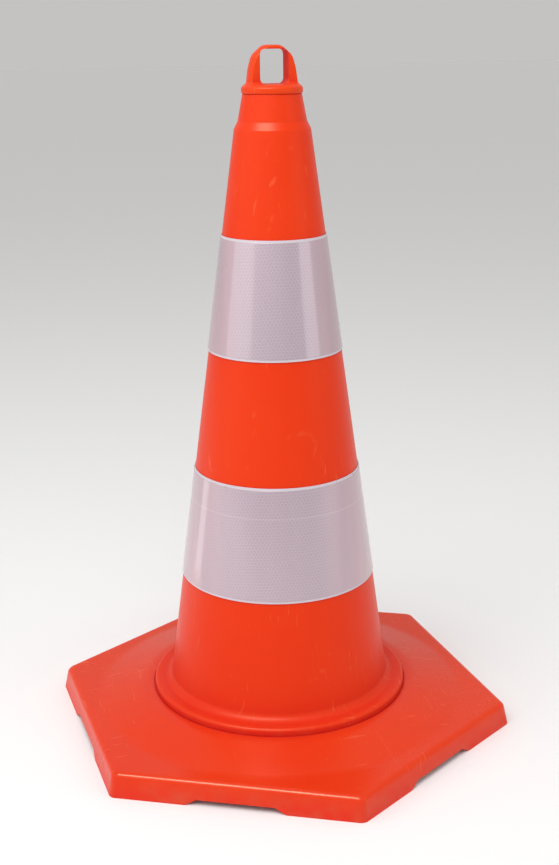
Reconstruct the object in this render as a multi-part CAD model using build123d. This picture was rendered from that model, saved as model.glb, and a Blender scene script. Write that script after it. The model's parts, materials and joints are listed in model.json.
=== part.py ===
from build123d import *
import os
from math import atan, cos, degrees, pi, sqrt

# Road traffic cone, 750 mm tall: a hollow tapering body with a foot flange, a hexagonal base
# with corner feet and a rubber ballast ring inside, two slip-on retroreflective sleeves, and a
# cap with a carrying eye on top.
# Millimetres, +Z up. The origin is on the ground, on the cone's axis. The eye's hole runs
# along Y, and two corners of the base lie on the Y axis.

# ---- Driving dimensions -------------------------------------------------------------------

overall_height = 750.0

# Cone body
cone_foot_radius = 131.8        # where the sloping side would meet the ground
shoulder_radius = 40.4          # top of the sloping side
cone_wall = 3.5
shoulder_step_height = 8.0      # sloping step between the side and the neck
neck_foot_radius = 36.3
neck_top_radius = 31.0
neck_height = 27.5

# Foot flange and skirt of the cone body
flange_radius = 145.0
flange_height = 8.0             # flange top above the crown of the base
flange_wall = 3.5
flange_edge_radius = 4.0
foot_fillet_radius = 9.0        # hollow between the side and the flange
skirt_radius = 126.0            # cylinder that drops through the base
skirt_length = 16.0             # below the crown of the base
skirt_bead_reach = 2.4
skirt_bead_height = 3.0
skirt_tip_lead = 0.4            # lead-in at the skirt's lower end
shoulder_edge_radius = 1.5
neck_foot_edge_radius = 2.5
neck_top_edge_radius = 0.8

# Base plate
base_across_flats = 464.0
base_edge_height = 26.0
base_crown_height = 38.0
base_corner_radius = 9.0
base_draft = 5.0                # how far the sides lean in over the edge's height
base_rim_radius = 7.0           # rounding of the top edge
base_skirt_wall = 5.0
base_plate_wall = 4.5
crown_radius = 150.0            # flat top around the flange
crown_run = 66.0                # slope from the crown down to the flat margin
crown_blend_radius = 50.0
crown_shoulder = 6.5            # flat left on each side of the slope, before it is rounded
flange_seat_depth = 1.5         # shallow recess that the flange stands in
flange_seat_clearance = 1.5
foot_length = 80.0              # flat of each foot, along the side from the corner
foot_height = 6.5
foot_ramp = 13.0
foot_pad_depth = 30.0           # solid corner pad, from the corner towards the axis
rib_count = 12
rib_thickness = 3.0
rib_margin = 8.0                # ribs stop this far inside the skirt
hub_wall = 4.0
hub_gap = 4.6                   # from the cone's skirt bead to the hub ring

# Ballast ring
ballast_radius = 215.0
ballast_thickness = 11.8
ballast_edge_radius = 2.0
hub_bead_reach = 2.2
hub_bead_height = 3.0

# Eye cap
eye_width = 31.0
eye_height = 35.0
eye_corner_radius = 6.0
arch_top_width = 19.8           # of the arch's flat top, before it is rounded
bridge_thickness = 4.0          # over the eye
cap_floor_height = 9.5          # from the neck's top edge to the floor of the eye
cap_rim_radius = 32.2
cap_rim_height = 6.5
strut_depth = 20.0              # front to back
strut_foot_radius = 27.0
mid_strut_share = 0.45          # of the eye's height, where the strut starts to lean in
upper_strut_share = 0.82        # of the eye's height, where the arch's top starts
plug_length = 18.0
plug_wall = 3.0

# Sleeves
sleeve_height = 124.5
sleeve_backing_wall = 0.8
sleeve_film_wall = 0.4
sleeve_rim = 2.5                # white margin above and below the film
plain_band_shares = (0.349, 0.357, 0.294)  # orange bands below, between and above the sleeves

# Clearances
sleeve_clearance = 0.3          # sleeve over the cone's side
plug_clearance = 0.05
skirt_clearance = 0.3
bead_clearance = 0.2
ballast_clearance = 0.5

# ---- Sizes that follow --------------------------------------------------------------------

eye_top = overall_height - bridge_thickness
eye_floor = eye_top - eye_height
neck_top = eye_floor - cap_floor_height
neck_foot = neck_top - neck_height
shoulder_height = neck_foot - shoulder_step_height
side_slope = (cone_foot_radius - shoulder_radius) / shoulder_height
side_stretch = sqrt(1 + side_slope ** 2)   # horizontal thickness of a wall on the slope
neck_slope = (neck_foot_radius - neck_top_radius) / neck_height

flange_top = base_crown_height + flange_height
flange_seat = base_crown_height - flange_seat_depth
plate_underside = base_crown_height - base_plate_wall
skirt_bottom = base_crown_height - skirt_length
skirt_hole_radius = skirt_radius + skirt_clearance
bead_radius = skirt_radius + skirt_bead_reach
bead_top = plate_underside - bead_clearance

apothem = base_across_flats / 2
circumradius = base_across_flats / sqrt(3)
side_length = circumradius
draft_angle = degrees(atan(base_draft / base_edge_height))
inner_apothem = apothem - base_skirt_wall
margin_underside = base_edge_height - base_plate_wall
hub_inner_radius = bead_radius + hub_gap
hub_outer_radius = hub_inner_radius + hub_wall
rib_foot = margin_underside - rib_thickness / 2
ballast_top = rib_foot
ballast_bottom = ballast_top - ballast_thickness
hub_bead_top = ballast_bottom - bead_clearance

side_foot = flange_top
plain_height = shoulder_height - side_foot - 2 * sleeve_height
lower_sleeve_foot = side_foot + plain_band_shares[0] * plain_height
upper_sleeve_foot = lower_sleeve_foot + sleeve_height + plain_band_shares[1] * plain_height


def side_radius(height):
    """Outer radius of the cone's sloping side."""
    return cone_foot_radius - side_slope * height


def neck_radius(height):
    """Outer radius of the neck."""
    return neck_foot_radius - neck_slope * (height - neck_foot)


def turned(points, radii):
    """Solid of revolution about Z. Each point is (radius, height); radii rounds its corner."""
    with BuildPart() as solid:
        with BuildSketch(Plane.XZ) as section:
            with BuildLine():
                Polyline(*points, close=True)
            make_face()
            for index, rounding in radii.items():
                spot = Vector(points[index][0], 0, points[index][1])
                corner = section.vertices().sort_by_distance(section.workplanes[0].to_local_coords(spot))
                fillet(corner[0], rounding)
        revolve(axis=Axis.Z)
    return solid.part


def hexagon(flat_distance, corner_radius=0.0):
    """Hexagon with corners on the Y axis; flat_distance is from its centre to a side."""
    shape = RegularPolygon(flat_distance / cos(pi / 6), 6, rotation=30)
    if corner_radius:
        shape = fillet(shape.vertices(), corner_radius)
    return shape


def ring(inner, outer, low, high):
    """Flat ring about the Z axis."""
    return Pos(0, 0, low) * extrude(Circle(outer) - Circle(inner), high - low)


# ---- Cone body ----------------------------------------------------------------------------


def make_cone_body():
    """Hollow body: skirt with its snap bead, foot flange, sloping side, shoulder and neck."""
    wall = cone_wall * side_stretch
    under_flange = flange_top - flange_wall
    bead_foot = bead_top - skirt_bead_height
    points = [
        (skirt_radius - cone_wall, skirt_bottom),
        (skirt_radius - skirt_tip_lead, skirt_bottom),
        (skirt_radius, bead_foot - skirt_bead_reach),
        (bead_radius, bead_foot),
        (bead_radius, bead_top),
        (skirt_radius, bead_top),
        (skirt_radius, under_flange),
        (flange_radius - flange_wall, under_flange),
        (flange_radius - flange_wall, flange_seat),
        (flange_radius, flange_seat),
        (flange_radius, flange_top),
        (side_radius(flange_top), flange_top),
        (shoulder_radius, shoulder_height),
        (neck_foot_radius, neck_foot),
        (neck_top_radius, neck_top),
        (neck_top_radius - cone_wall, neck_top),
        (neck_foot_radius - cone_wall, neck_foot),
        (shoulder_radius - wall, shoulder_height),
        (side_radius(flange_top) - wall, flange_top),
    ]
    radii = {
        10: flange_edge_radius,
        11: foot_fillet_radius,
        12: shoulder_edge_radius,
        13: neck_foot_edge_radius,
        14: neck_top_edge_radius,
    }
    return turned(points, radii)


# ---- Base plate ---------------------------------------------------------------------------


def make_base_plate():
    """Hexagonal shell with a low crown, corner feet, edge notches, ribs and a hub ring."""
    crown_foot_radius = crown_radius + crown_run
    outside = extrude(hexagon(apothem, base_corner_radius), base_edge_height, taper=draft_angle)
    rim = outside.faces().sort_by(Axis.Z)[-1].edges()
    outside = fillet(rim, base_rim_radius)
    crown = crown_solid(base_edge_height, base_crown_height, crown_foot_radius)

    inner_corner_radius = base_corner_radius - base_skirt_wall
    hollow = extrude(hexagon(inner_apothem, inner_corner_radius), margin_underside, taper=draft_angle)
    hollow -= foot_pads()
    hollow += crown_solid(margin_underside, plate_underside, crown_foot_radius)
    hollow -= ring(hub_inner_radius, hub_outer_radius, hub_bead_top - hub_bead_height, plate_underside)
    hollow -= hub_bead()
    hollow -= ribs()

    plate = outside + crown - hollow
    plate -= extrude(Circle(skirt_hole_radius), base_crown_height + 1)
    seat_radius = flange_radius + flange_seat_clearance
    plate -= ring(skirt_hole_radius - 1, seat_radius, flange_seat, base_crown_height + 1)
    for side in range(6):
        plate -= Rot(0, 0, 60 * side) * notch()
    return plate


def crown_solid(low, high, foot_radius):
    """Low round crown that rises from the flat margin to the flat around the flange."""
    points = [
        (0, low - 1),
        (foot_radius, low - 1),
        (foot_radius, low),
        (foot_radius - crown_shoulder, low),
        (crown_radius + crown_shoulder, high),
        (0, high),
    ]
    return turned(points, {3: crown_blend_radius, 4: crown_blend_radius})


def foot_pads():
    """The six solid corner pads, where the feet meet the ground."""
    corner = extrude(hexagon(inner_apothem, base_corner_radius - base_skirt_wall), margin_underside)
    return corner - extrude(Circle(circumradius - foot_pad_depth), margin_underside)


def hub_bead():
    """Bead round the foot of the hub ring that the ballast ring snaps over."""
    low = hub_bead_top - hub_bead_height
    points = [
        (hub_inner_radius, low),
        (hub_outer_radius, low),
        (hub_outer_radius + hub_bead_reach, hub_bead_top - 0.8),
        (hub_outer_radius + hub_bead_reach, hub_bead_top),
        (hub_inner_radius, hub_bead_top),
    ]
    return turned(points, {})


def ribs():
    """Radial stiffening ribs under the plate, from the hub ring out towards the skirt."""
    start = hub_outer_radius - 1
    length = inner_apothem - rib_margin - start
    height = plate_underside - rib_foot
    rib = Pos(start + length / 2, 0, rib_foot + height / 2) * Box(length, rib_thickness, height)
    return Compound(children=[Rot(0, 0, 360 / rib_count * n) * rib for n in range(rib_count)])


def notch():
    """Cut in the middle of a side, between two feet, seen square on to the +X side."""
    half_foot = side_length / 2 - foot_length
    half_top = half_foot - foot_ramp
    outline = Polyline(
        (-half_foot - foot_ramp / foot_height, -1),
        (half_foot + foot_ramp / foot_height, -1),
        (half_top, foot_height),
        (-half_top, foot_height),
        close=True,
    )
    depth = 3 * base_skirt_wall
    return extrude(Plane.YZ.offset(apothem - depth + 1) * make_face(outline), depth)


# ---- Ballast ring -------------------------------------------------------------------------


def make_ballast_ring():
    """Heavy rubber ring that lies against the ribs and snaps over the hub ring."""
    inner = hub_outer_radius + ballast_clearance
    solid = ring(inner, ballast_radius, ballast_bottom, ballast_top)
    edges = solid.edges().filter_by(GeomType.CIRCLE).group_by(Axis.Z)[0]
    return fillet(edges, ballast_edge_radius)


# ---- Eye cap ------------------------------------------------------------------------------


def make_eye_cap():
    """Cap with a hollow plug in the neck, a rim on its edge and an arch with the eye."""
    plug_foot = neck_top - plug_length
    bore = cone_wall + plug_clearance
    plug_inner = neck_radius(neck_top) - bore - plug_wall
    rim_top = neck_top + cap_rim_height
    strut_taper = strut_foot_radius - eye_width / 2
    mid_strut_height = eye_floor + mid_strut_share * eye_height
    upper_strut_height = eye_floor + upper_strut_share * eye_height
    outline = [
        (0, rim_top - plug_wall),
        (plug_inner, rim_top - plug_wall),
        (plug_inner, plug_foot),
        (neck_radius(plug_foot) - bore, plug_foot),
        (neck_top_radius - bore, neck_top),
        (cap_rim_radius, neck_top),
        (cap_rim_radius, rim_top),
        (strut_foot_radius, eye_floor + 1),
        (strut_foot_radius - 0.17 * strut_taper, mid_strut_height),
        (strut_foot_radius - 0.48 * strut_taper, upper_strut_height),
        (arch_top_width / 2, overall_height),
        (0, overall_height),
    ]
    dome = turned(outline, {5: 2.0, 6: 2.5, 7: 3.0, 8: 30.0, 9: 12.0, 10: 9.0})
    reach = 2 * cap_rim_radius
    face = Box(reach, reach, reach, align=(Align.CENTER, Align.MIN, Align.MIN))
    for turn in (0, 180):
        dome -= Rot(0, 0, turn) * Pos(0, strut_depth / 2, eye_floor) * face
    opening = RectangleRounded(eye_width, eye_height, eye_corner_radius)
    centre = (eye_floor + eye_top) / 2
    dome -= Pos(0, 0, centre) * extrude(Plane.XZ * opening, reach / 2, both=True)
    return dome


# ---- Sleeves ------------------------------------------------------------------------------


def sleeve_layer(low, high, inside, wall):
    """Conical layer that follows the cone's side; inside is its distance from the side."""
    near = inside * side_stretch
    far = (inside + wall) * side_stretch
    points = [
        (side_radius(low) + near, low),
        (side_radius(low) + far, low),
        (side_radius(high) + far, high),
        (side_radius(high) + near, high),
    ]
    return turned(points, {})


def make_sleeve_backing(foot):
    """White backing of a sleeve."""
    return sleeve_layer(foot, foot + sleeve_height, sleeve_clearance, sleeve_backing_wall)


def make_sleeve_film(foot):
    """Retroreflective film on a sleeve, inside the backing's white margins."""
    inside = sleeve_clearance + sleeve_backing_wall
    return sleeve_layer(foot + sleeve_rim, foot + sleeve_height - sleeve_rim, inside, sleeve_film_wall)


# ---- Write one file per piece -------------------------------------------------------------

pieces = {
    "cone_body": make_cone_body(),
    "base_plate": make_base_plate(),
    "ballast_ring": make_ballast_ring(),
    "eye_cap": make_eye_cap(),
    "lower_sleeve_backing": make_sleeve_backing(lower_sleeve_foot),
    "lower_sleeve_film": make_sleeve_film(lower_sleeve_foot),
    "upper_sleeve_backing": make_sleeve_backing(upper_sleeve_foot),
    "upper_sleeve_film": make_sleeve_film(upper_sleeve_foot),
}

os.makedirs("parts", exist_ok=True)
for name, piece in pieces.items():
    export_step(piece, f"parts/{name}.step")
    box = piece.bounding_box()
    print(f"{name}: {len(piece.solids())} solid, z {box.min.Z:.1f} to {box.max.Z:.1f}")
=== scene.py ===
# %% [markdown]
# # An orange road cone, modelled piece by piece
# A road cone is a stack of soft plastic mouldings: a hexagonal base, a tall hollow body, a cap with a
# carrying eye, and two reflective sleeves slipped over the body. The engineering model of the same cone is
# loaded first. It fixes every size and place, and the pieces below are modelled to lie exactly on it.

import json
from math import cos, pi, radians, sin, sqrt, tan

import bmesh
import bpy
from mathutils import Matrix, Vector

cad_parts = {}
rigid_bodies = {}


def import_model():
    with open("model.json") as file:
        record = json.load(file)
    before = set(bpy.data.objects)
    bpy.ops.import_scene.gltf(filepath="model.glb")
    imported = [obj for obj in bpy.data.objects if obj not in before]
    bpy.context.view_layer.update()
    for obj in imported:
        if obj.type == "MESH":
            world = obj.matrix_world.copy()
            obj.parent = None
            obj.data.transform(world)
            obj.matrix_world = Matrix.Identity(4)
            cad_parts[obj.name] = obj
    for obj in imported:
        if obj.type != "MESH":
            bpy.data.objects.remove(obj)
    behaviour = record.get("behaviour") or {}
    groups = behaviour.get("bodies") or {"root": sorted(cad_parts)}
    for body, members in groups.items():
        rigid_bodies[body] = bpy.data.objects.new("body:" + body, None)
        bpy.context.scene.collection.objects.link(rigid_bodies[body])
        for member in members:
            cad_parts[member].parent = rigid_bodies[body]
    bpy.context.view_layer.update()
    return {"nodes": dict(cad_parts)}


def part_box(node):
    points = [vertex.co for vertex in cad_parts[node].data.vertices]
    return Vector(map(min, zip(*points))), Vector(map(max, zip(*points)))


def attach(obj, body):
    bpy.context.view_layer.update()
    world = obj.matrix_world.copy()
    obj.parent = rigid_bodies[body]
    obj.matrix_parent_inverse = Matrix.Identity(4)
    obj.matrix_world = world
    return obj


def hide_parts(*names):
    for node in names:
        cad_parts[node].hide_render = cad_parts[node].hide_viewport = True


bpy.ops.object.select_all(action="SELECT")
bpy.ops.object.delete()
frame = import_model()
MM = 0.001
print("pieces in the engineering model:", sorted(frame["nodes"]))

# %% [markdown]
# ## Sizes
# Heights and radii are read from the boxes of the engineering pieces, so that a change there moves the
# looks too. Only the small things that a box can't tell, such as a wall or a rounding, are named here.

# %% Sizes read from the engineering model, in metres
body_low, body_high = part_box("cone_body")
base_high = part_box("base_plate")[1]
cap_low, cap_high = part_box("eye_cap")
ballast_low, ballast_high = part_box("ballast_ring")

flange_radius = body_high.x
skirt_bottom = body_low.z
neck_top = body_high.z
crown_height = base_high.z
apothem = base_high.x
overall_height = cap_high.z
print("cone height %.0f mm, base %.0f mm across its flats" % (overall_height / MM, 2 * apothem / MM))

# %% Sizes that the boxes don't give, in metres
AROUND = 192                      # steps round a turned piece
NEAR = 0.000001                   # metres; two places this close are the same
wall = 3.5 * MM
side_foot_radius = 131.8 * MM     # where the sloping side would meet the ground
shoulder_radius = 40.4 * MM
neck_foot_radius = 36.3 * MM
neck_top_radius = 31.0 * MM
neck_length = 27.5 * MM
shoulder_step = 8.0 * MM
neck_foot = neck_top - neck_length
shoulder_height = neck_foot - shoulder_step
slope = (side_foot_radius - shoulder_radius) / shoulder_height


def side_radius(height):
    """Outer radius of the cone's sloping side at a height."""
    return side_foot_radius - slope * height


# %% [markdown]
# ## Helpers for modelling by hand
# Edit mode works on whatever is selected, so each step below first selects its vertices by where they are.
# Small helpers keep that in one place: one picks vertices, one hands a finished piece over to its body.

# %% Helpers: selecting, editing and finishing
def edit(piece):
    """Opens a piece in edit mode with nothing selected."""
    bpy.ops.object.mode_set(mode="OBJECT")
    bpy.ops.object.select_all(action="DESELECT")
    bpy.context.view_layer.objects.active = piece
    piece.select_set(True)
    bpy.ops.object.mode_set(mode="EDIT")
    bpy.ops.mesh.select_mode(type="VERT")
    bpy.ops.mesh.select_all(action="DESELECT")


def pick(wanted):
    """Selects the vertices for which wanted(index, place) holds, and returns their number."""
    mesh = bmesh.from_edit_mesh(bpy.context.object.data)
    mesh.verts.ensure_lookup_table()
    for vertex in mesh.verts:
        vertex.select = bool(wanted(vertex.index, vertex.co))
    mesh.select_flush_mode()
    bmesh.update_edit_mesh(bpy.context.object.data)
    return sum(vertex.select for vertex in mesh.verts)


def vertex_count():
    """Vertices of the mesh that is open in edit mode."""
    return len(bmesh.from_edit_mesh(bpy.context.object.data).verts)


def apply_modifier(piece, kind, **settings):
    """Adds a modifier with its settings and applies it at once."""
    bpy.ops.object.select_all(action="DESELECT")
    bpy.context.view_layer.objects.active = piece
    piece.select_set(True)
    bpy.ops.object.modifier_add(type=kind)
    modifier = piece.modifiers[-1]
    for name, value in settings.items():
        setattr(modifier, name, value)
    bpy.ops.object.modifier_apply(modifier=modifier.name)


def smooth(piece, angle=35.0):
    """Smooth shading up to an angle, with the large faces leading at soft edges."""
    bpy.ops.object.select_all(action="DESELECT")
    bpy.context.view_layer.objects.active = piece
    piece.select_set(True)
    bpy.ops.object.shade_smooth_by_angle(angle=radians(angle))
    apply_modifier(piece, "WEIGHTED_NORMAL", keep_sharp=True, weight=60)


def clean(piece):
    """Merges doubles and turns every face outwards."""
    edit(piece)
    bpy.ops.mesh.select_all(action="SELECT")
    bpy.ops.mesh.remove_doubles(threshold=0.00001)
    bpy.ops.mesh.normals_make_consistent(inside=False)
    bpy.ops.object.mode_set(mode="OBJECT")


def hand_over(piece, body, slot, *nodes):
    """Lets a finished piece ride on its body and stand for its engineering nodes."""
    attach(piece, body)
    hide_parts(*nodes)
    triangles = sum(len(face.vertices) - 2 for face in piece.data.polygons)
    print("%s: %d triangles" % (piece.name, triangles))


# %% [markdown]
# ## Turned pieces
# The body, the ballast and the sleeves are round, as if turned on a lathe. The half outline is drawn as a
# chain of vertices, each one extruded from the last. Bevelling a vertex of the chain rounds that corner,
# and one spin about the axis makes the solid. Drawing the outline keeps every radius readable.

# %% Helper: a turned piece
def turned(name, outline, rounding, steps=AROUND):
    """Spins a closed outline of (radius, height) about Z. rounding gives the radius of a corner."""
    first = Vector((outline[0][0], 0, outline[0][1]))
    bpy.ops.object.select_all(action="DESELECT")
    bpy.ops.mesh.primitive_plane_add(size=MM)
    piece = bpy.context.object
    piece.name = piece.data.name = name
    edit(piece)
    bpy.ops.mesh.select_all(action="SELECT")
    bpy.ops.mesh.merge(type="CENTER")
    bpy.ops.transform.translate(value=first)
    place = first
    for radius, height in outline[1:]:
        following = Vector((radius, 0, height))
        bpy.ops.mesh.extrude_vertices_move(TRANSFORM_OT_translate={"value": following - place})
        place = following
    pick(lambda index, at: (at - first).length < NEAR or (at - place).length < NEAR)
    bpy.ops.mesh.edge_face_add()
    for index, radius in rounding.items():
        corner = Vector((outline[index][0], 0, outline[index][1]))
        before = outline[index - 1]
        after = outline[(index + 1) % len(outline)]
        arm_a = (Vector((before[0], 0, before[1])) - corner).normalized()
        arm_b = (Vector((after[0], 0, after[1])) - corner).normalized()
        turn = pi - arm_a.angle(arm_b)
        pick(lambda index, at: (at - corner).length < NEAR)
        segments = max(3, round(turn / radians(12)))
        bpy.ops.mesh.bevel(offset=radius * tan(turn / 2), affect="VERTICES", segments=segments)
    bpy.ops.mesh.select_all(action="SELECT")
    bpy.ops.mesh.spin(steps=steps, angle=2 * pi, center=(0, 0, 0), axis=(0, 0, 1))
    clean(piece)
    return piece


# %% [markdown]
# ## Shader groups
# The soft plastic, the rubber and the film share a few effects, so each effect is one node group. A group
# only gives out masks and heights. The shader itself, with its fixed numbers, stays in each material.

# %% Helpers: building node trees
def feed(tree, socket, value):
    """Links another node's output into a socket, or sets the socket to a plain value."""
    if isinstance(value, bpy.types.NodeSocket):
        tree.links.new(value, socket)
    else:
        socket.default_value = value


def add_node(tree, kind, **inputs):
    """Adds a node and feeds its inputs by their names."""
    node = tree.nodes.new(kind)
    for name, value in inputs.items():
        feed(tree, node.inputs[name], value)
    return node


def calculate(tree, operation, a, b=None, clamp=False):
    """A Math node; each operand is a number or an output socket."""
    node = tree.nodes.new("ShaderNodeMath")
    node.operation = operation
    node.use_clamp = clamp
    feed(tree, node.inputs[0], a)
    if b is not None:
        feed(tree, node.inputs[1], b)
    return node.outputs[0]


def vector_math(tree, operation, a, b):
    """A Vector Math node of two vectors."""
    node = tree.nodes.new("ShaderNodeVectorMath")
    node.operation = operation
    feed(tree, node.inputs[0], a)
    feed(tree, node.inputs[1], b)
    return node.outputs["Vector"]


def blend_colours(tree, factor, a, b):
    """A Mix node for colours."""
    node = tree.nodes.new("ShaderNodeMix")
    node.data_type = "RGBA"
    feed(tree, node.inputs[0], factor)
    feed(tree, node.inputs[6], a)
    feed(tree, node.inputs[7], b)
    return node.outputs[2]


def remap(tree, value, low, high, to_low=0.0, to_high=1.0, smooth_step=False):
    """A clamped Map Range node."""
    node = tree.nodes.new("ShaderNodeMapRange")
    node.interpolation_type = "SMOOTHSTEP" if smooth_step else "LINEAR"
    feed(tree, node.inputs["Value"], value)
    feed(tree, node.inputs["From Min"], low)
    feed(tree, node.inputs["From Max"], high)
    feed(tree, node.inputs["To Min"], to_low)
    feed(tree, node.inputs["To Max"], to_high)
    return node.outputs[0]


def new_group(name, place, numbers, outputs):
    """An empty shader group: one vector input, inputs that are numbers, and outputs that are masks."""
    tree = bpy.data.node_groups.new(name, "ShaderNodeTree")
    tree.interface.new_socket(place, in_out="INPUT", socket_type="NodeSocketVector")
    for label, value in numbers.items():
        socket = tree.interface.new_socket(label, in_out="INPUT", socket_type="NodeSocketFloat")
        socket.default_value = value
    for label in outputs:
        tree.interface.new_socket(label, in_out="OUTPUT", socket_type="NodeSocketFloat")
    given = tree.nodes.new("NodeGroupInput")
    result = tree.nodes.new("NodeGroupOutput")
    return tree, given.outputs, result.inputs


def use_group(tree, group, **values):
    """Places a group in a material with its own values."""
    node = tree.nodes.new("ShaderNodeGroup")
    node.node_tree = group
    for name, value in values.items():
        feed(tree, node.inputs[name.replace("_", " ")], value)
    return node.outputs


# %% [markdown]
# ### Moulded surface
# A moulded plastic skin is never perfectly even. Close up it has a fine grain from the mould's blasted
# steel, and from further off a slow waviness where the wall shrank as it cooled, with clouds of slightly
# different tone. Three noises at those three scales make it.

# %% Shader group: moulded surface
grain_depth = 0.02 * MM
wave_depth = 0.6 * MM


def make_moulded_surface():
    """Tone, gloss and height of a moulded skin."""
    numbers = {"Grain": 1.0, "Waviness": 1.0}
    tree, given, result = new_group("moulded_surface", "Place", numbers, ["Tone", "Gloss", "Height"])
    grain = add_node(tree, "ShaderNodeTexNoise", Vector=given["Place"], Scale=1400.0, Detail=3.0).outputs[0]
    waves = add_node(tree, "ShaderNodeTexNoise", Vector=given["Place"], Scale=22.0, Detail=2.0).outputs[0]
    clouds = add_node(tree, "ShaderNodeTexNoise", Vector=given["Place"], Scale=6.0, Detail=4.0).outputs[0]
    fine = calculate(tree, "MULTIPLY", calculate(tree, "MULTIPLY", grain, given["Grain"]), grain_depth)
    slow = calculate(tree, "MULTIPLY", calculate(tree, "MULTIPLY", waves, given["Waviness"]), wave_depth)
    tree.links.new(calculate(tree, "ADD", fine, slow), result["Height"])
    tree.links.new(remap(tree, clouds, 0.3, 0.7), result["Tone"])
    tree.links.new(remap(tree, calculate(tree, "ADD", grain, clouds), 0.6, 1.4), result["Gloss"])
    return tree


moulded_surface = make_moulded_surface()

# %% [markdown]
# ### Handling marks
# Cones are thrown onto lorries and dragged over the road. That leaves thin scuffs in all directions, and
# a film of dust that is strongest near the ground. Scuffs come from stretched noise with a high threshold.

# %% Shader group: handling marks
def make_handling_marks():
    """Masks of the scuffs, in two directions, and of the dust."""
    numbers = {"Amount": 0.5, "Dust height": 0.05}
    tree, given, result = new_group("handling_marks", "Place", numbers, ["Scuffs", "Dust"])
    total = None
    for turn, stretch in ((0.4, (30.0, 260.0, 34.0)), (1.9, (240.0, 26.0, 40.0))):
        turned_place = add_node(tree, "ShaderNodeMapping", Vector=given["Place"])
        turned_place.inputs["Rotation"].default_value = (turn, 0.3 * turn, turn)
        turned_place.inputs["Scale"].default_value = stretch
        line_place = turned_place.outputs[0]
        place = given["Place"]
        line_noise = add_node(tree, "ShaderNodeTexNoise", Vector=line_place, Scale=1.0, Detail=2.0)
        patch_noise = add_node(tree, "ShaderNodeTexNoise", Vector=place, Scale=9.0 + turn, Detail=1.0)
        lines = line_noise.outputs[0]
        patch = patch_noise.outputs[0]
        mark = calculate(tree, "MULTIPLY", remap(tree, lines, 0.66, 0.74), remap(tree, patch, 0.5, 0.62))
        total = mark if total is None else calculate(tree, "MAXIMUM", total, mark)
    tree.links.new(calculate(tree, "MULTIPLY", total, given["Amount"], clamp=True), result["Scuffs"])
    height = add_node(tree, "ShaderNodeSeparateXYZ", Vector=given["Place"]).outputs["Z"]
    near_ground = remap(tree, height, 0.0, given["Dust height"], 1.0, 0.0, smooth_step=True)
    grit = add_node(tree, "ShaderNodeTexNoise", Vector=given["Place"], Scale=60.0, Detail=6.0).outputs[0]
    dust = calculate(tree, "MULTIPLY", near_ground, remap(tree, grit, 0.4, 0.75))
    tree.links.new(calculate(tree, "MULTIPLY", dust, given["Amount"], clamp=True), result["Dust"])
    return tree


handling_marks = make_handling_marks()

# %% [markdown]
# ### Orange plastic
# The colour is a strong fluorescent orange red. Light goes a few millimetres into the plastic, which warms
# the shadows, so the shader has a little subsurface scattering. In hollows the light bounces from orange
# to orange and turns redder. Here that is painted shade: places that see little sky get a deeper red
# painted into their colour, and they are rougher too. Scuffs are paler and rougher.

# %% Material: orange plastic
# Painted shade: the deep red that hollows get, standing in for light bounced from orange to orange.
painted_hollow_shade_colour = (0.66, 0.008, 0.012, 1)
scuff_colour = (0.86, 0.20, 0.09, 1)
dust_colour = (0.55, 0.17, 0.09, 1)
hollow_reach = 45 * MM
gloss_spread = 0.12


def orange_plastic(name, colour, deep_colour, grain, dust_height, gloss, shine):
    """Soft orange moulding. gloss is the lowest roughness, shine the strength of its reflections."""
    material = bpy.data.materials.new(name)
    material.use_nodes = True
    tree = material.node_tree
    shader = tree.nodes["Principled BSDF"]
    place = add_node(tree, "ShaderNodeTexCoord").outputs["Object"]
    open_sky = add_node(tree, "ShaderNodeAmbientOcclusion", Distance=hollow_reach)
    open_sky.samples = 6
    # Mask of the hollows: it paints shade into the colour and makes the surface rougher there.
    hollows_and_painted_shade = remap(tree, open_sky.outputs["AO"], 0.40, 0.92, 1.0, 0.0)
    skin = use_group(tree, moulded_surface, Place=place, Grain=grain, Waviness=1.0)
    marks = use_group(tree, handling_marks, Place=place, Amount=0.28, Dust_height=dust_height)
    tone = blend_colours(tree, skin["Tone"], deep_colour, colour)
    # Painted shade: the colour turns deeper red where the surface sees little sky.
    painted_shade_tone = blend_colours(tree, calculate(tree, "MULTIPLY", hollows_and_painted_shade, 0.85), tone, painted_hollow_shade_colour)
    scuffed = blend_colours(tree, marks["Scuffs"], painted_shade_tone, scuff_colour)
    dusty = blend_colours(tree, marks["Dust"], scuffed, dust_colour)
    tree.links.new(dusty, shader.inputs["Base Color"])
    rough = remap(tree, skin["Gloss"], 0.0, 1.0, gloss, gloss + gloss_spread)
    rough = calculate(tree, "ADD", rough, calculate(tree, "MULTIPLY", marks["Scuffs"], 0.25))
    rough = calculate(tree, "ADD", rough, calculate(tree, "MULTIPLY", hollows_and_painted_shade, 0.3))
    rough = calculate(tree, "ADD", rough, calculate(tree, "MULTIPLY", marks["Dust"], 0.3), clamp=True)
    tree.links.new(rough, shader.inputs["Roughness"])
    bump = add_node(tree, "ShaderNodeBump", Strength=0.6, Distance=1.0, Height=skin["Height"])
    tree.links.new(bump.outputs[0], shader.inputs["Normal"])
    shader.inputs["Subsurface Weight"].default_value = 0.12
    shader.inputs["Subsurface Radius"].default_value = (1.0, 0.25, 0.12)
    shader.inputs["Subsurface Scale"].default_value = 4 * MM
    shader.inputs["Specular IOR Level"].default_value = shine
    shader.inputs["Specular Tint"].default_value = (1.0, 0.62, 0.45, 1)
    return material


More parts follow.
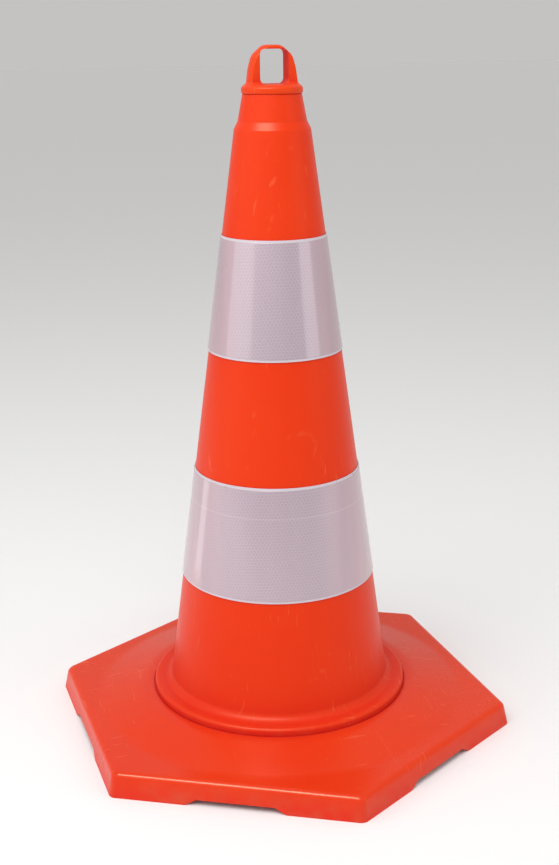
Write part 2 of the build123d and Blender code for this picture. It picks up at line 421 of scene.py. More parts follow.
body_orange = orange_plastic(
    "body_orange",
    colour=(0.78, 0.044, 0.007, 1),
    deep_colour=(0.75, 0.036, 0.006, 1),
    grain=1.0,
    dust_height=60 * MM,
    gloss=0.30,
    shine=0.20,
)
base_orange = orange_plastic(
    "base_orange",
    colour=(0.78, 0.048, 0.009, 1),
    deep_colour=(0.75, 0.038, 0.007, 1),
    grain=1.4,
    dust_height=30 * MM,
    gloss=0.19,
    shine=0.34,
)
cap_orange = orange_plastic(
    "cap_orange",
    colour=(0.78, 0.060, 0.009, 1),
    deep_colour=(0.75, 0.048, 0.007, 1),
    grain=0.8,
    dust_height=10 * MM,
    gloss=0.30,
    shine=0.20,
)
print("orange plastics:", body_orange.name, base_orange.name, cap_orange.name)

# %% [markdown]
# ### White backing and black rubber
# The sleeves are white vinyl under their film. The ballast is recycled tyre rubber pressed into a ring,
# so it is dark, rough and speckled with paler grains.

# %% Material: white backing
def white_backing():
    """Slightly dirty white vinyl."""
    material = bpy.data.materials.new("white_vinyl")
    material.use_nodes = True
    tree = material.node_tree
    shader = tree.nodes["Principled BSDF"]
    place = add_node(tree, "ShaderNodeTexCoord").outputs["Object"]
    marks = use_group(tree, handling_marks, Place=place, Amount=0.5, Dust_height=0.3)
    clean_white = (0.60, 0.55, 0.60, 1)
    scuffed_white = (0.40, 0.34, 0.35, 1)
    colour = blend_colours(tree, marks["Scuffs"], clean_white, scuffed_white)
    tree.links.new(colour, shader.inputs["Base Color"])
    shader.inputs["Roughness"].default_value = 0.34
    return material


sleeve_white = white_backing()

# %% Material: ballast rubber
def ballast_rubber():
    """Pressed rubber crumb."""
    material = bpy.data.materials.new("rubber_crumb")
    material.use_nodes = True
    tree = material.node_tree
    shader = tree.nodes["Principled BSDF"]
    place = add_node(tree, "ShaderNodeTexCoord").outputs["Object"]
    crumbs = add_node(tree, "ShaderNodeTexVoronoi", Vector=place, Scale=420.0)
    grain_tone = add_node(tree, "ShaderNodeSeparateColor", Color=crumbs.outputs["Color"]).outputs[0]
    black_crumb = (0.020, 0.020, 0.021, 1)
    grey_crumb = (0.075, 0.072, 0.070, 1)
    colour = blend_colours(tree, remap(tree, grain_tone, 0.80, 1.0), black_crumb, grey_crumb)
    tree.links.new(colour, shader.inputs["Base Color"])
    shader.inputs["Roughness"].default_value = 0.82
    height = calculate(tree, "MULTIPLY", crumbs.outputs["Distance"], 0.6 * MM)
    bump = add_node(tree, "ShaderNodeBump", Strength=0.8, Distance=1.0, Height=height)
    tree.links.new(bump.outputs[0], shader.inputs["Normal"])
    return material


rubber = ballast_rubber()

# %% [markdown]
# ### Retroreflective film
# Under the film's clear face lies a sheet of tiny glass beads or prisms, sealed to the backing along a
# honeycomb of thin lines. The sealed lines look paler, and the cells silvery with a lilac cast. The pattern
# runs in the film's own flat sheet, so it is drawn in the UV map that is made when the sleeve is modelled.
# Where the film faces the camera, a painted sheen makes its silver darker and its sealed lines stronger.
# Pale upright streaks in the silver are partly random tone and partly painted reflection streaks.

# %% Shader group: honeycomb of sealed lines
def make_seal_cells():
    """Mask of the sealed lines: two grids of cell centres, and the nearer centre of the two counts."""
    numbers = {"Pitch": 0.0045, "Line": 0.12}
    tree, given, result = new_group("seal_cells", "Sheet", numbers, ["Seal"])
    pitches = add_node(tree, "ShaderNodeCombineXYZ", X=given["Pitch"], Y=given["Pitch"], Z=given["Pitch"])
    place = vector_math(tree, "DIVIDE", given["Sheet"], pitches.outputs[0])
    repeat = (1.0, sqrt(3), 1.0)
    half_repeat = (0.5, sqrt(3) / 2, 0.0)
    all_positive = (2000.0, 2000.0 * sqrt(3), 0.0)
    distances = []
    for shift in ((0.0, 0.0, 0.0), half_repeat):
        moved = vector_math(tree, "ADD", place, shift)
        positive = vector_math(tree, "ADD", moved, all_positive)
        wrapped = vector_math(tree, "MODULO", positive, repeat)
        local = vector_math(tree, "SUBTRACT", wrapped, half_repeat)
        part = add_node(tree, "ShaderNodeSeparateXYZ", Vector=local)
        across = calculate(tree, "ABSOLUTE", part.outputs["X"])
        up = calculate(tree, "ABSOLUTE", part.outputs["Y"])
        half_across = calculate(tree, "MULTIPLY", across, 0.5)
        slanted = calculate(tree, "ADD", half_across, calculate(tree, "MULTIPLY", up, sqrt(3) / 2))
        distances.append(calculate(tree, "MAXIMUM", across, slanted))
    to_centre = calculate(tree, "MINIMUM", distances[0], distances[1])
    edge = calculate(tree, "SUBTRACT", 0.5, to_centre)
    tree.links.new(remap(tree, edge, 0.0, given["Line"], 1.0, 0.0, smooth_step=True), result["Seal"])
    return tree


seal_cells = make_seal_cells()

# %% [markdown]
# ### Joins in the film
# The film comes off a roll in short lengths. Where two lengths meet, a faint straight line runs round the
# sleeve. The strip's two ends overlap and are welded at the back, which leaves an upright double line.

# %% Shader group: joins in the film
half_lap = 7 * MM


def make_sheet_joins():
    """Masks of the level join and of the welded lap's two edges."""
    tree, given, result = new_group("sheet_joins", "Place", {"Join height": 0.267}, ["Join", "Weld"])
    part = add_node(tree, "ShaderNodeSeparateXYZ", Vector=given["Place"])
    above_join = calculate(tree, "SUBTRACT", part.outputs["Z"], given["Join height"])
    off_join = calculate(tree, "ABSOLUTE", above_join)
    tree.links.new(remap(tree, off_join, 0.0, 0.8 * MM, 1.0, 0.0), result["Join"])
    behind = remap(tree, part.outputs["Y"], 0.0, MM)
    total = None
    for edge in (-half_lap, half_lap):
        off_edge = calculate(tree, "ABSOLUTE", calculate(tree, "SUBTRACT", part.outputs["X"], edge))
        line = remap(tree, off_edge, 0.4 * MM, 0.9 * MM, 1.0, 0.0)
        total = line if total is None else calculate(tree, "MAXIMUM", total, line)
    tree.links.new(calculate(tree, "MULTIPLY", total, behind), result["Weld"])
    return tree


sheet_joins = make_sheet_joins()

# %% Material: reflective film
silver_colour = (0.50, 0.355, 0.41, 1)
# Pale streak silver: partly random tone in the film, partly painted reflection streaks.
streak_and_reflection_silver = (0.56, 0.38, 0.42, 1)
# Painted sheen: the darker silver where the film faces the camera.
painted_sheen_silver = (0.40, 0.33, 0.39, 1)
seal_colour = (0.74, 0.62, 0.68, 1)
film_scuff = (0.40, 0.33, 0.36, 1)
join_colour = (0.78, 0.70, 0.74, 1)
weld_colour = (0.36, 0.29, 0.33, 1)


def reflective_film():
    """Silver cell film with a clear glossy face."""
    material = bpy.data.materials.new("cell_film")
    material.use_nodes = True
    tree = material.node_tree
    shader = tree.nodes["Principled BSDF"]
    sheet_map = tree.nodes.new("ShaderNodeUVMap")
    sheet_map.uv_map = "sheet"
    sheet = sheet_map.outputs[0]
    place = add_node(tree, "ShaderNodeTexCoord").outputs["Object"]
    cells = use_group(tree, seal_cells, Sheet=sheet, Pitch=0.0038, Line=0.18)
    marks = use_group(tree, handling_marks, Place=place, Amount=0.45, Dust_height=0.2)
    # Upright pale streaks: partly random tone, partly painted reflection.
    stretched = add_node(tree, "ShaderNodeMapping", Vector=sheet)
    stretched.inputs["Scale"].default_value = (34.0, 3.0, 1.0)
    streak_noise = add_node(tree, "ShaderNodeTexNoise", Vector=stretched.outputs[0], Scale=1.0, Detail=2.0)
    streaks_and_painted_reflection = remap(tree, streak_noise.outputs[0], 0.35, 0.65)
    # Painted sheen: where the film faces the camera, its silver is painted darker and its sealed lines
    # stronger.
    facing = add_node(tree, "ShaderNodeLayerWeight", Blend=0.5).outputs["Facing"]
    painted_frontal_sheen = remap(tree, facing, 0.05, 0.45, 1.0, 0.0, smooth_step=True)
    streaked_with_painted_reflection = blend_colours(tree, streaks_and_painted_reflection, silver_colour, streak_and_reflection_silver)
    silver_with_painted_sheen = blend_colours(tree, calculate(tree, "MULTIPLY", painted_frontal_sheen, 0.7), streaked_with_painted_reflection, painted_sheen_silver)
    seal_strength_with_painted_sheen = calculate(tree, "ADD", calculate(tree, "MULTIPLY", painted_frontal_sheen, 0.22), 0.10)
    speckle_noise = add_node(tree, "ShaderNodeTexNoise", Vector=sheet, Scale=700.0, Detail=1.0)
    speckle = remap(tree, speckle_noise.outputs[0], 0.35, 0.65, 0.4, 1.0)
    broken_seal = calculate(tree, "MULTIPLY", cells["Seal"], speckle)
    seal_share_with_painted_sheen = calculate(tree, "MULTIPLY", broken_seal, seal_strength_with_painted_sheen)
    sealed = blend_colours(tree, seal_share_with_painted_sheen, silver_with_painted_sheen, seal_colour)
    scuffed = blend_colours(tree, marks["Scuffs"], sealed, film_scuff)
    joins = use_group(tree, sheet_joins, Place=place, Join_height=0.267)
    joined = blend_colours(tree, calculate(tree, "MULTIPLY", joins["Join"], 0.2), scuffed, join_colour)
    lapped = blend_colours(tree, calculate(tree, "MULTIPLY", joins["Weld"], 0.6), joined, weld_colour)
    tree.links.new(lapped, shader.inputs["Base Color"])
    shader.inputs["Metallic"].default_value = 0.35
    shader.inputs["Roughness"].default_value = 0.42
    shader.inputs["Coat Weight"].default_value = 1.0
    shader.inputs["Coat IOR"].default_value = 1.75
    shader.inputs["Coat Roughness"].default_value = 0.10
    height = calculate(tree, "MULTIPLY", cells["Seal"], -0.06 * MM)
    bump = add_node(tree, "ShaderNodeBump", Strength=0.5, Distance=1.0, Height=height)
    tree.links.new(bump.outputs[0], shader.inputs["Normal"])
    return material


film_material = reflective_film()
print("materials ready:", sleeve_white.name, rubber.name, film_material.name)

# %% [markdown]
# ## The cone's body
# A real body is one blow-moulded or injected shell: a short skirt that snaps into the base, a flange that
# stands on it, the long taper, a shoulder and a neck for the cap. Every part of it is round, so its half
# outline is drawn once and spun. The corners are rounded before the spin, while they are single vertices.

# %% Cone body
skirt_radius = 126.0 * MM
skirt_tip_lead = 0.4 * MM
plate_wall = 4.5 * MM             # of the base, which the skirt's bead snaps under
bead_reach = 2.4 * MM
bead_height = 3.0 * MM
bead_clearance = 0.2 * MM
bead_radius = skirt_radius + bead_reach
flange_top = crown_height + 8.0 * MM
flange_seat = crown_height - 1.5 * MM
under_flange = flange_top - wall
bead_top = crown_height - plate_wall - bead_clearance
bead_foot = bead_top - bead_height
slant_wall = wall * sqrt(1 + slope * slope)
body_outline = [
    (skirt_radius - wall, skirt_bottom),
    (skirt_radius - skirt_tip_lead, skirt_bottom),
    (skirt_radius, bead_foot - bead_reach),
    (bead_radius, bead_foot),
    (bead_radius, bead_top),
    (skirt_radius, bead_top),
    (skirt_radius, under_flange),
    (flange_radius - wall, under_flange),
    (flange_radius - wall, flange_seat),
    (flange_radius, flange_seat),
    (flange_radius, flange_top),
    (side_radius(flange_top), flange_top),
    (shoulder_radius, shoulder_height),
    (neck_foot_radius, neck_foot),
    (neck_top_radius, neck_top),
    (neck_top_radius - wall, neck_top),
    (neck_foot_radius - wall, neck_foot),
    (shoulder_radius - slant_wall, shoulder_height),
    (side_radius(flange_top) - slant_wall, flange_top),
]
body_rounding = {
    9: 0.6 * MM,    # under the flange
    10: 4.0 * MM,   # flange edge
    11: 9.0 * MM,   # hollow between the flange and the side
    12: 1.5 * MM,   # shoulder
    13: 2.5 * MM,   # foot of the neck
    14: 0.8 * MM,   # top of the neck
}
cone_body = turned("orange_cone_body", body_outline, body_rounding)
smooth(cone_body)
cone_body.data.materials.append(body_orange)
hand_over(cone_body, "cone", "orange_body", "cone_body")

# %% [markdown]
# ## The ballast ring
# Rubber crumb is pressed into a flat ring that snaps under the base. It is what keeps the cone standing.

# %% Ballast ring
hub_gap = 4.6 * MM
hub_wall = 4.0 * MM
hub_outer_radius = bead_radius + hub_gap + hub_wall
ballast_inner = hub_outer_radius + 0.5 * MM
ballast_outline = [
    (ballast_inner, ballast_low.z),
    (ballast_high.x, ballast_low.z),
    (ballast_high.x, ballast_high.z),
    (ballast_inner, ballast_high.z),
]
ballast = turned("rubber_ballast_ring", ballast_outline, {0: 2 * MM, 1: 2 * MM, 2: 0.8 * MM, 3: 0.8 * MM})
smooth(ballast)
ballast.data.materials.append(rubber)
hand_over(ballast, "cone", "ballast_rubber", "ballast_ring")

# %% [markdown]
# ## The sleeves
# Each sleeve is a strip of white vinyl with reflective film on it, cut as a fan shape, wrapped round and
# welded. It slides over the top and wedges on the taper. The backing is a thin turned shell. The film is a
# second shell inside the backing's white margins, with a faint waviness, because a soft sheet never lies
# quite round. That waviness is what breaks its reflections into upright streaks.

# %% Helper: a flat-sheet UV map and a wavy skin
def lay_out_sheet(piece):
    """UV map in metres on the unrolled sheet, upright at the front of the sleeve."""
    unroll = slope / sqrt(1 + slope * slope)
    stretch = 1 / unroll
    layer = piece.data.uv_layers.new(name="sheet")
    for face in piece.data.polygons:
        heading = Vector((face.center.x, face.center.y))
        middle = heading.angle_signed(Vector((0, -1)), 0.0)
        for corner in face.loop_indices:
            at = piece.data.vertices[piece.data.loops[corner].vertex_index].co
            reach = sqrt(at.x * at.x + at.y * at.y)
            turn = Vector((at.x, at.y)).angle_signed(Vector((0, -1)), 0.0)
            if turn - middle > pi:
                turn -= 2 * pi
            if middle - turn > pi:
                turn += 2 * pi
            swing = turn * unroll
            layer.data[corner].uv = (-reach * stretch * sin(swing), -reach * stretch * cos(swing))


def ripple(piece, depth, waves):
    """Draws the skin in by up to depth, in upright waves round the sleeve."""
    for vertex in piece.data.vertices:
        turn = Vector((vertex.co.x, vertex.co.y)).angle_signed(Vector((0, -1)), 0.0)
        wave = sum(sin(count * turn + phase) for count, phase in waves) / len(waves)
        reach = sqrt(vertex.co.x ** 2 + vertex.co.y ** 2)
        factor = 1 - depth * (0.5 + 0.5 * wave) / reach
        vertex.co.x *= factor
        vertex.co.y *= factor


# %% Helper: one sleeve
sleeve_gap = 0.3 * MM
backing_wall = 0.8 * MM
film_wall = 0.4 * MM
film_bedding = 0.2 * MM           # how deep the film's inner face lies in the backing
ripple_depth = 0.14 * MM


def sleeve(name, waves):
    """White backing and reflective film of one sleeve, read from their engineering boxes."""
    backing_node = name + "_backing"
    film_node = name + "_film"
    low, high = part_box(backing_node)
    film_low, film_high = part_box(film_node)
    tilt = sqrt(1 + slope * slope)
    gap = sleeve_gap * tilt
    backing_face = (sleeve_gap + backing_wall) * tilt
    film_face = (sleeve_gap + backing_wall + film_wall) * tilt
    film_back = backing_face - film_bedding
    backing_outline = [
        (side_radius(low.z) + gap, low.z),
        (side_radius(low.z) + backing_face, low.z),
        (side_radius(high.z) + backing_face, high.z),
        (side_radius(high.z) + gap, high.z),
    ]
    backing = turned(name + "_white_backing", backing_outline, {1: 0.3 * MM, 2: 0.3 * MM})
    smooth(backing)
    backing.data.materials.append(sleeve_white)
    hand_over(backing, name, "sleeve_white", backing_node)
    film_outline = [
        (side_radius(film_low.z) + film_back, film_low.z),
        (side_radius(film_low.z) + film_face, film_low.z),
        (side_radius(film_high.z) + film_face, film_high.z),
        (side_radius(film_high.z) + film_back, film_high.z),
    ]
    film_rounding = {1: 0.15 * MM, 2: 0.15 * MM}
    film = turned(name + "_reflective_film", film_outline, film_rounding, steps=2 * AROUND)
    ripple(film, ripple_depth, waves)
    lay_out_sheet(film)
    smooth(film)
    film.data.materials.append(film_material)
    hand_over(film, name, "reflective_film", film_node)


# %% Both sleeves; each wave is a count round the sleeve and a phase
sleeve("lower_sleeve", ((5, 0.4), (9, 2.0), (14, 1.1)))
sleeve("upper_sleeve", ((4, 1.3), (7, 0.2), (11, 2.4)))

# %% [markdown]
# ## The base
# The base is an injected shell with six corners. A ring of 192 vertices is drawn once as a hexagon with
# rounded corners. It is then extruded, scaled and lifted, loop after loop: up the side, round the top edge,
# in over the low crown to the hole, down through it, and back out along the underside. Working in whole
# loops keeps the wall even, which is also what a moulder wants, since thick places sink as they cool.

# %% Helpers: loops of the base
CORNER_SEGMENTS = 8
LONG_EDGE_CUTS = AROUND // 6 - CORNER_SEGMENTS - 1
shortest_side = 50 * MM           # longer than any edge of a rounded corner


def hexagon_loop(flat_distance, corner_offset, height):
    """Adds a hexagonal loop of AROUND vertices with rounded corners and leaves it selected."""
    bpy.ops.mesh.select_all(action="DESELECT")
    count = vertex_count()
    corner_distance = flat_distance / cos(pi / 6)
    bpy.ops.mesh.primitive_circle_add(vertices=6, radius=corner_distance, location=(0, 0, height))
    bpy.ops.mesh.bevel(offset=corner_offset, affect="VERTICES", segments=CORNER_SEGMENTS)
    mesh = bmesh.from_edit_mesh(bpy.context.object.data)
    mesh.verts.ensure_lookup_table()
    long_edges = [edge for edge in mesh.edges if edge.select and edge.calc_length() > shortest_side]
    bpy.ops.mesh.select_all(action="DESELECT")
    bpy.ops.mesh.select_mode(type="EDGE")
    for edge in long_edges:
        edge.select = True
    bmesh.update_edit_mesh(bpy.context.object.data)
    bpy.ops.mesh.subdivide(number_cuts=LONG_EDGE_CUTS)
    bpy.ops.mesh.select_mode(type="VERT")
    pick(lambda index, at: index >= count)
    return vertex_count() - count


def grow_loop(factor, lift):
    """Extrudes the selected loop, scales it about the axis and lifts it."""
    bpy.ops.mesh.extrude_edges_move(TRANSFORM_OT_translate={"value": (0, 0, lift)})
    bpy.ops.transform.resize(value=(factor, factor, 1), center_override=(0, 0, 0))


def follow(points):
    """Takes a selected round loop through (radius, height) points."""
    radius, height = points[0]
    for next_radius, next_height in points[1:]:
        grow_loop(next_radius / radius, next_height - height)
        radius, height = next_radius, next_height


def draw_in(limit):
    """Brings selected vertices that lie farther from the axis than the limit back to it."""
    mesh = bmesh.from_edit_mesh(bpy.context.object.data)
    for vertex in mesh.verts:
        if vertex.select and vertex.co.to_2d().length > limit:
            vertex.co.xy = vertex.co.to_2d().normalized() * limit
    bmesh.update_edit_mesh(bpy.context.object.data)


def make_round(radius):
    """Turns the selected loop into a circle."""
    bpy.ops.transform.tosphere(value=1)
    mesh = bmesh.from_edit_mesh(bpy.context.object.data)
    factor = radius / max(vertex.co.to_2d().length for vertex in mesh.verts if vertex.select)
    bpy.ops.transform.resize(value=(factor, factor, 1), center_override=(0, 0, 0))


def selected_places():
    """Copies of the selected vertices' places."""
    mesh = bmesh.from_edit_mesh(bpy.context.object.data)
    return [vertex.co.copy() for vertex in mesh.verts if vertex.select]


def close_onto(places):
    """Extrudes the selected loop and lays each new vertex on the place in its own direction."""
    grow_loop(1, 0)
    mesh = bmesh.from_edit_mesh(bpy.context.object.data)
    for vertex in mesh.verts:
        if vertex.select:
            heading = vertex.co.to_2d().normalized()
            vertex.co = max(places, key=lambda place: heading.dot(place.to_2d().normalized()))
    bmesh.update_edit_mesh(bpy.context.object.data)


# %% Crown outline of the base
crown_inner = 150.0 * MM
crown_outer = 216.0 * MM
crown_blend = 50.0 * MM
crown_flat = 6.5 * MM
edge_height = 26.0 * MM
rise = crown_height - edge_height
crown_turn = Vector((crown_outer - crown_inner - 2 * crown_flat, rise)).angle(Vector((1, 0)))
blend_reach = crown_blend * tan(crown_turn / 2)


def crown_points(low):
    """(radius, height) points from the foot of the crown in to its flat top; low is the foot's height."""
    foot_start = crown_outer - crown_flat + blend_reach
    top_end = crown_inner + crown_flat - blend_reach
    high = low + rise
    steps = 4
    turns = [crown_turn * step / steps for step in range(steps + 1)]
    foot = [(foot_start - crown_blend * sin(t), low + crown_blend * (1 - cos(t))) for t in turns]
    top = [(top_end + crown_blend * sin(t), high - crown_blend * (1 - cos(t))) for t in reversed(turns)]
    return [(crown_outer, low)] + foot + top


# %% Base shell: side, rounded edge, crown and seat
rim_radius = 7.0 * MM
corner_radius = 9.0 * MM
draft = 5.0 * MM                  # how far the sides lean in over the edge's height
lean = Vector((edge_height, draft)).angle(Vector((1, 0)))
rim_inset = draft + rim_radius * tan((pi / 2 - lean) / 2)
rim_centre = edge_height - rim_radius
side_headings = [Vector((cos(n * pi / 3), sin(n * pi / 3))) for n in range(6)]
bpy.ops.object.select_all(action="DESELECT")
bpy.ops.mesh.primitive_circle_add(vertices=3, radius=MM)
base = bpy.context.object
base.name = base.data.name = "orange_base"
edit(base)
bpy.ops.mesh.select_all(action="SELECT")
bpy.ops.mesh.delete(type="VERT")
loop_size = hexagon_loop(apothem, corner_radius * tan(pi / 6), 0)
skirt_wall = 5.0 * MM
pad_depth = 30.0 * MM             # solid corner pad, from the corner towards the axis
inner_apothem = apothem - skirt_wall
pad_start = apothem / cos(pi / 6) - pad_depth
margin_ceiling = edge_height - plate_wall
grow_loop(inner_apothem / apothem, 0)
draw_in(pad_start)
grow_loop(1 - draft * margin_ceiling / edge_height / inner_apothem, margin_ceiling)
draw_in(pad_start)
skirt_top = selected_places()
outer_loop = apothem - skirt_wall / 2
pick(lambda index, at: at.z < NEAR and max(at.to_2d().dot(side) for side in side_headings) > outer_loop)
inset, height = 0, 0
rim_steps = 7
for step in range(rim_steps + 1):
    turn = lean + (pi / 2 - lean) * step / rim_steps
    next_inset = rim_inset - rim_radius * cos(turn)
    next_height = rim_centre + rim_radius * sin(turn)
    grow_loop((apothem - next_inset) / (apothem - inset), next_height - height)
    inset, height = next_inset, next_height
grow_loop(1, 0)
make_round(crown_outer)
seat_clearance = 1.5 * MM
skirt_clearance = 0.3 * MM
seat_radius = flange_radius + seat_clearance
hole_radius = skirt_radius + skirt_clearance
seat = [
    (seat_radius, crown_height),
    (seat_radius, flange_seat),
    (hole_radius, flange_seat),
    (hole_radius, crown_height - plate_wall),
]
follow(crown_points(edge_height) + seat)
print("base loop of %d vertices, mesh of %d" % (loop_size, vertex_count()))

# %% Base shell: underside with its hub ring
ceiling = crown_height - plate_wall
hub_inner = bead_radius + hub_gap
hub_bead_top = ballast_low.z - bead_clearance
hub_bead_height = 3.0 * MM
hub_bead_flat = 0.8 * MM
hub_foot = hub_bead_top - hub_bead_height
hub_bead_radius = hub_outer_radius + 2.2 * MM
underside = [
    (hole_radius, ceiling),
    (hub_inner, ceiling),
    (hub_inner, hub_foot),
    (hub_outer_radius, hub_foot),
    (hub_bead_radius, hub_bead_top - hub_bead_flat),
    (hub_bead_radius, hub_bead_top),
    (hub_outer_radius, hub_bead_top),
    (hub_outer_radius, ceiling),
]
follow(underside + list(reversed(crown_points(margin_ceiling))))
close_onto(skirt_top)
bpy.ops.object.mode_set(mode="OBJECT")
clean(base)
edit(base)
shell = bmesh.from_edit_mesh(base.data)
print("open edges in the base shell:", sum(len(edge.link_faces) != 2 for edge in shell.edges))
bpy.ops.object.mode_set(mode="OBJECT")

# %% [markdown]
# ### Ribs and notches
# Twelve ribs under the plate stiffen it for the weight of a stack and of a careless tyre. They run from
# the hub ring to just inside the skirt. Between the six feet the skirt is cut away a little, so that water
# runs off and fingers get under the edge. The cuts are made with one boolean of six wedge-sided bars.

# %% Ribs
def box_between(low, high, name):
    """A cube scaled and moved to fill the space between two corners, and applied."""
    bpy.ops.object.select_all(action="DESELECT")
    bpy.ops.mesh.primitive_cube_add(size=1)
    piece = bpy.context.object
    piece.name = piece.data.name = name
    edit(piece)
    bpy.ops.mesh.select_all(action="SELECT")
    bpy.ops.transform.resize(value=[b - a for a, b in zip(low, high)], center_override=(0, 0, 0))
    bpy.ops.transform.translate(value=[(a + b) / 2 for a, b in zip(low, high)])
    bpy.ops.object.mode_set(mode="OBJECT")
    return piece


def copies_round(piece, count):
    """Duplicates the whole mesh of a piece round the Z axis, in edit mode."""
    edit(piece)
    bpy.ops.mesh.select_all(action="SELECT")
    for step in range(count - 1):
        bpy.ops.mesh.duplicate()
        bpy.ops.transform.rotate(value=2 * pi / count, orient_axis="Z", center_override=(0, 0, 0))
    bpy.ops.object.mode_set(mode="OBJECT")


def join(target, *others):
    """Joins other pieces into target."""
    bpy.ops.object.select_all(action="DESELECT")
    for other in others:
        other.select_set(True)
    target.select_set(True)
    bpy.context.view_layer.objects.active = target
    bpy.ops.object.join()


rib_half = 1.5 * MM
rib_count = 12
rib_margin = 8.0 * MM
rib_foot = ballast_high.z
rib_end = inner_apothem - rib_margin
rib_root = hub_outer_radius - MM
rib_bend = crown_inner + crown_flat
embedded = 2.0 * MM               # how far a rib reaches up into the plate
embedded_at_bend = 1.5 * MM
rib = box_between((rib_root, -rib_half, rib_foot), (rib_end, rib_half, ceiling + embedded), "rib")
edit(rib)
pick(lambda index, at: at.x > rib_end - NEAR and at.z > ceiling)
bpy.ops.transform.translate(value=(0, 0, margin_ceiling - ceiling))
bpy.ops.mesh.select_all(action="SELECT")
bpy.ops.mesh.bisect(plane_co=(rib_bend, 0, 0), plane_no=(1, 0, 0))
pick(lambda index, at: abs(at.x - rib_bend) < 0.01 * MM and at.z > rib_foot + MM)
bend_top = max(place.z for place in selected_places())
bpy.ops.transform.translate(value=(0, 0, ceiling + embedded_at_bend - bend_top))
bpy.ops.object.mode_set(mode="OBJECT")
copies_round(rib, rib_count)
print("ribs: %d vertices" % len(rib.data.vertices))

# %% Notches between the feet
foot_length = 80.0 * MM
foot_height = 6.5 * MM
foot_ramp = 13.0 * MM
notch_depth = 14.0 * MM           # in from the flat, past the skirt's wall
half_notch = apothem / cos(pi / 6) / 2 - foot_length
notch_low = (apothem - notch_depth, -half_notch, 0)
notch_high = (apothem + MM, half_notch, foot_height)
cutter = box_between(notch_low, notch_high, "cutter")
top_share = (half_notch - foot_ramp) / half_notch
bottom_share = 1 + foot_ramp / half_notch / foot_height * MM
edit(cutter)
pick(lambda index, at: at.z > foot_height / 2)
bpy.ops.transform.resize(value=(1, top_share, 1), center_override=(0, 0, 0))
pick(lambda index, at: at.z < foot_height / 2)
bpy.ops.transform.resize(value=(1, bottom_share, 1), center_override=(0, 0, 0))
bpy.ops.transform.translate(value=(0, 0, -MM))
bpy.ops.object.mode_set(mode="OBJECT")
copies_round(cutter, 6)
apply_modifier(base, "BOOLEAN", operation="DIFFERENCE", object=cutter, solver="EXACT")
bpy.data.objects.remove(cutter)
apply_modifier(base, "BEVEL", width=0.5 * MM, segments=2, limit_method="ANGLE", angle_limit=radians(40))
join(base, rib)
base.data.materials.clear()
base.data.materials.append(base_orange)
smooth(base, 30)
hand_over(base, "cone", "orange_base", "base_plate")

# %% [markdown]
# ## The cap with its carrying eye
# The cap is a separate moulding: a hollow plug that presses into the neck, a rim that covers the neck's
# edge, and an arch to hook a finger or a chain into. It starts as a turned dome. Two blocks cut the front
# and back flat, a rounded bar cuts the eye, and a fine remesh with smoothing then softens every edge, the
# way soft plastic leaves its mould.

# %% Cap: the turned dome
eye_width = 31.0 * MM
eye_height = 35.0 * MM
bridge = 4.0 * MM                 # over the eye
eye_top = overall_height - bridge
eye_floor = eye_top - eye_height
strut_depth = 20.0 * MM
strut_foot = 27.0 * MM
rim_top = neck_top + 6.5 * MM
neck_slope = (neck_foot_radius - neck_top_radius) / (neck_top - neck_foot)
plug_clearance = 0.05 * MM
plug_wall = 3.0 * MM
plug_foot = cap_low.z
plug_radius = neck_top_radius - wall - plug_clearance
plug_foot_radius = plug_radius + neck_slope * (neck_top - plug_foot)
taper = strut_foot - eye_width / 2
arch_top = 19.8 * MM
mid_share = 0.45                  # of the eye's height, where the arch starts to lean in
mid_lean = 0.17                   # and how much of the taper is used up there
upper_share = 0.82
upper_lean = 0.48
cap_outline = [
    (0, rim_top - plug_wall),
    (plug_radius - plug_wall, rim_top - plug_wall),
    (plug_radius - plug_wall, plug_foot),
    (plug_foot_radius, plug_foot),
    (plug_radius, neck_top),
    (cap_high.x, neck_top),
    (cap_high.x, rim_top),
    (strut_foot, eye_floor + MM),
    (strut_foot - mid_lean * taper, eye_floor + mid_share * eye_height),
    (strut_foot - upper_lean * taper, eye_floor + upper_share * eye_height),
    (arch_top / 2, overall_height),
    (0, overall_height),
]
cap_rounding = {
    5: 2.0 * MM,    # lower edge of the rim
    6: 2.5 * MM,    # upper edge of the rim
    7: 3.0 * MM,    # foot of the arch
    8: 30.0 * MM,
    9: 12.0 * MM,
    10: 9.0 * MM,   # top of the arch
}
cap = turned("orange_eye_cap", cap_outline, cap_rounding)

# %% Cap: the front, the back and the eye are cut
def rounded_bar(low, high, rounding, name, wanted):
    """A block whose edges along one direction, picked by wanted(edge direction), are rounded."""
    piece = box_between(low, high, name)
    edit(piece)
    mesh = bmesh.from_edit_mesh(piece.data)
    bpy.ops.mesh.select_mode(type="EDGE")
    for edge in mesh.edges:
        edge.select = wanted(edge)
    bmesh.update_edit_mesh(piece.data)
    bpy.ops.mesh.bevel(offset=rounding, segments=8)
    bpy.ops.mesh.select_mode(type="VERT")
    bpy.ops.object.mode_set(mode="OBJECT")
    return piece


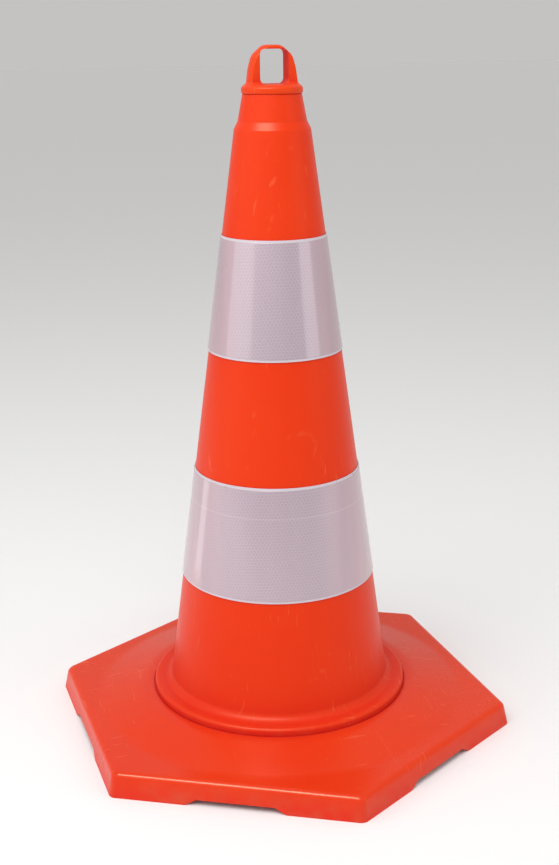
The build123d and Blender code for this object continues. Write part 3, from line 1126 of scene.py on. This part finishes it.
reach = 2 * cap_high.x
half_depth = strut_depth / 2
shelf = eye_floor - 0.2 * MM
shelf_rounding = 2.5 * MM
eye_corner = 6.0 * MM
front = rounded_bar(
    (-reach, -reach, shelf),
    (reach, -half_depth, overall_height + reach),
    shelf_rounding,
    "front_cutter",
    lambda edge: all(v.co.y > -half_depth - NEAR and v.co.z < overall_height for v in edge.verts),
)
back = rounded_bar(
    (-reach, half_depth, shelf),
    (reach, reach, overall_height + reach),
    shelf_rounding,
    "back_cutter",
    lambda edge: all(v.co.y < half_depth + NEAR and v.co.z < overall_height for v in edge.verts),
)
eye = rounded_bar(
    (-eye_width / 2, -reach, eye_floor),
    (eye_width / 2, reach, eye_top),
    eye_corner,
    "eye_cutter",
    lambda edge: abs(edge.verts[0].co.y - edge.verts[1].co.y) > reach,
)
for tool in (front, back, eye):
    apply_modifier(cap, "BOOLEAN", operation="DIFFERENCE", object=tool, solver="EXACT")
    bpy.data.objects.remove(tool)
apply_modifier(cap, "REMESH", mode="VOXEL", voxel_size=0.6 * MM, adaptivity=0.0)
apply_modifier(cap, "SMOOTH", factor=0.5, iterations=8)
cap.data.materials.clear()
cap.data.materials.append(cap_orange)
smooth(cap, 60)
hand_over(cap, "cone", "orange_cap", "eye_cap")

# %% [markdown]
# ## Floor, light and camera
# The cone stands on a pale plain floor under soft light. A wide panel on the left gives the main light, one
# above lights the base, and one on the right lifts the shadow side. Two small panels only make gleams: one
# low at the back left draws the upright streak on the sleeves, and a long one draws the bright line on the
# base's rounded edge. That one adds no diffuse light, so it doesn't wash out the orange. The camera looks
# down from the front left, from about twice the cone's height away.

# %% Floor
bpy.ops.object.select_all(action="DESELECT")
bpy.ops.mesh.primitive_plane_add(size=60)
floor = bpy.context.object
floor.name = "studio_floor"
floor_material = bpy.data.materials.new("studio_floor")
floor_material.use_nodes = True
floor_shader = floor_material.node_tree.nodes["Principled BSDF"]
floor_shader.inputs["Base Color"].default_value = (0.95, 0.95, 0.95, 1)
floor_shader.inputs["Roughness"].default_value = 0.6
floor.data.materials.append(floor_material)

# %% Light
def panel(name, azimuth, elevation, distance, width, height, power):
    """A soft panel light that faces the middle of the cone. Angles in degrees, lengths in metres."""
    target = Vector((0, 0, 0.36))
    around = radians(azimuth)
    up = radians(elevation)
    heading = Vector((sin(around) * cos(up), -cos(around) * cos(up), sin(up)))
    bpy.ops.object.select_all(action="DESELECT")
    bpy.ops.object.light_add(type="AREA", location=target + distance * heading)
    light = bpy.context.object
    light.name = name
    light.data.shape = "RECTANGLE"
    light.data.size = width
    light.data.size_y = height
    light.data.energy = power
    light.rotation_euler = (-heading).to_track_quat("-Z", "Y").to_euler()
    return light


panel("left_panel", -84, 20, 2.4, 2.3, 2.1, 13)
panel("top_panel", -36, 60, 2.2, 1.8, 1.8, 30)
panel("streak_panel", -124, -17, 0.9, 0.17, 0.22, 0.12)
edge_panel = panel("edge_panel", -49, 56, 2.0, 1.3, 0.32, 64)
edge_panel.visible_diffuse = False
panel("right_panel", 48, 18, 2.8, 1.4, 2.0, 9)
world = bpy.data.worlds.new("studio")
bpy.context.scene.world = world
world.use_nodes = True
background = world.node_tree.nodes["Background"]
background.inputs["Color"].default_value = (1.0, 0.99, 0.98, 1)
light_strength = 0.57
seen_strength = 0.55              # as bright as the far floor, so that no horizon shows
seen = add_node(world.node_tree, "ShaderNodeLightPath").outputs["Is Camera Ray"]
strength = remap(world.node_tree, seen, 0, 1, light_strength, seen_strength)
world.node_tree.links.new(strength, background.inputs["Strength"])
bpy.context.scene.view_settings.view_transform = "Standard"

# %% Camera
bpy.ops.object.camera_add(location=(-0.450, -1.358, 0.762))
camera = bpy.context.object
turn = Matrix.Rotation(radians(-18.48), 4, "Z") @ Matrix.Rotation(radians(73.38), 4, "X")
camera.rotation_euler = (turn @ Matrix.Rotation(radians(-0.67), 4, "Z")).to_euler()
camera.data.lens = 55.8
camera.data.dof.use_dof = False
bpy.context.scene.camera = camera
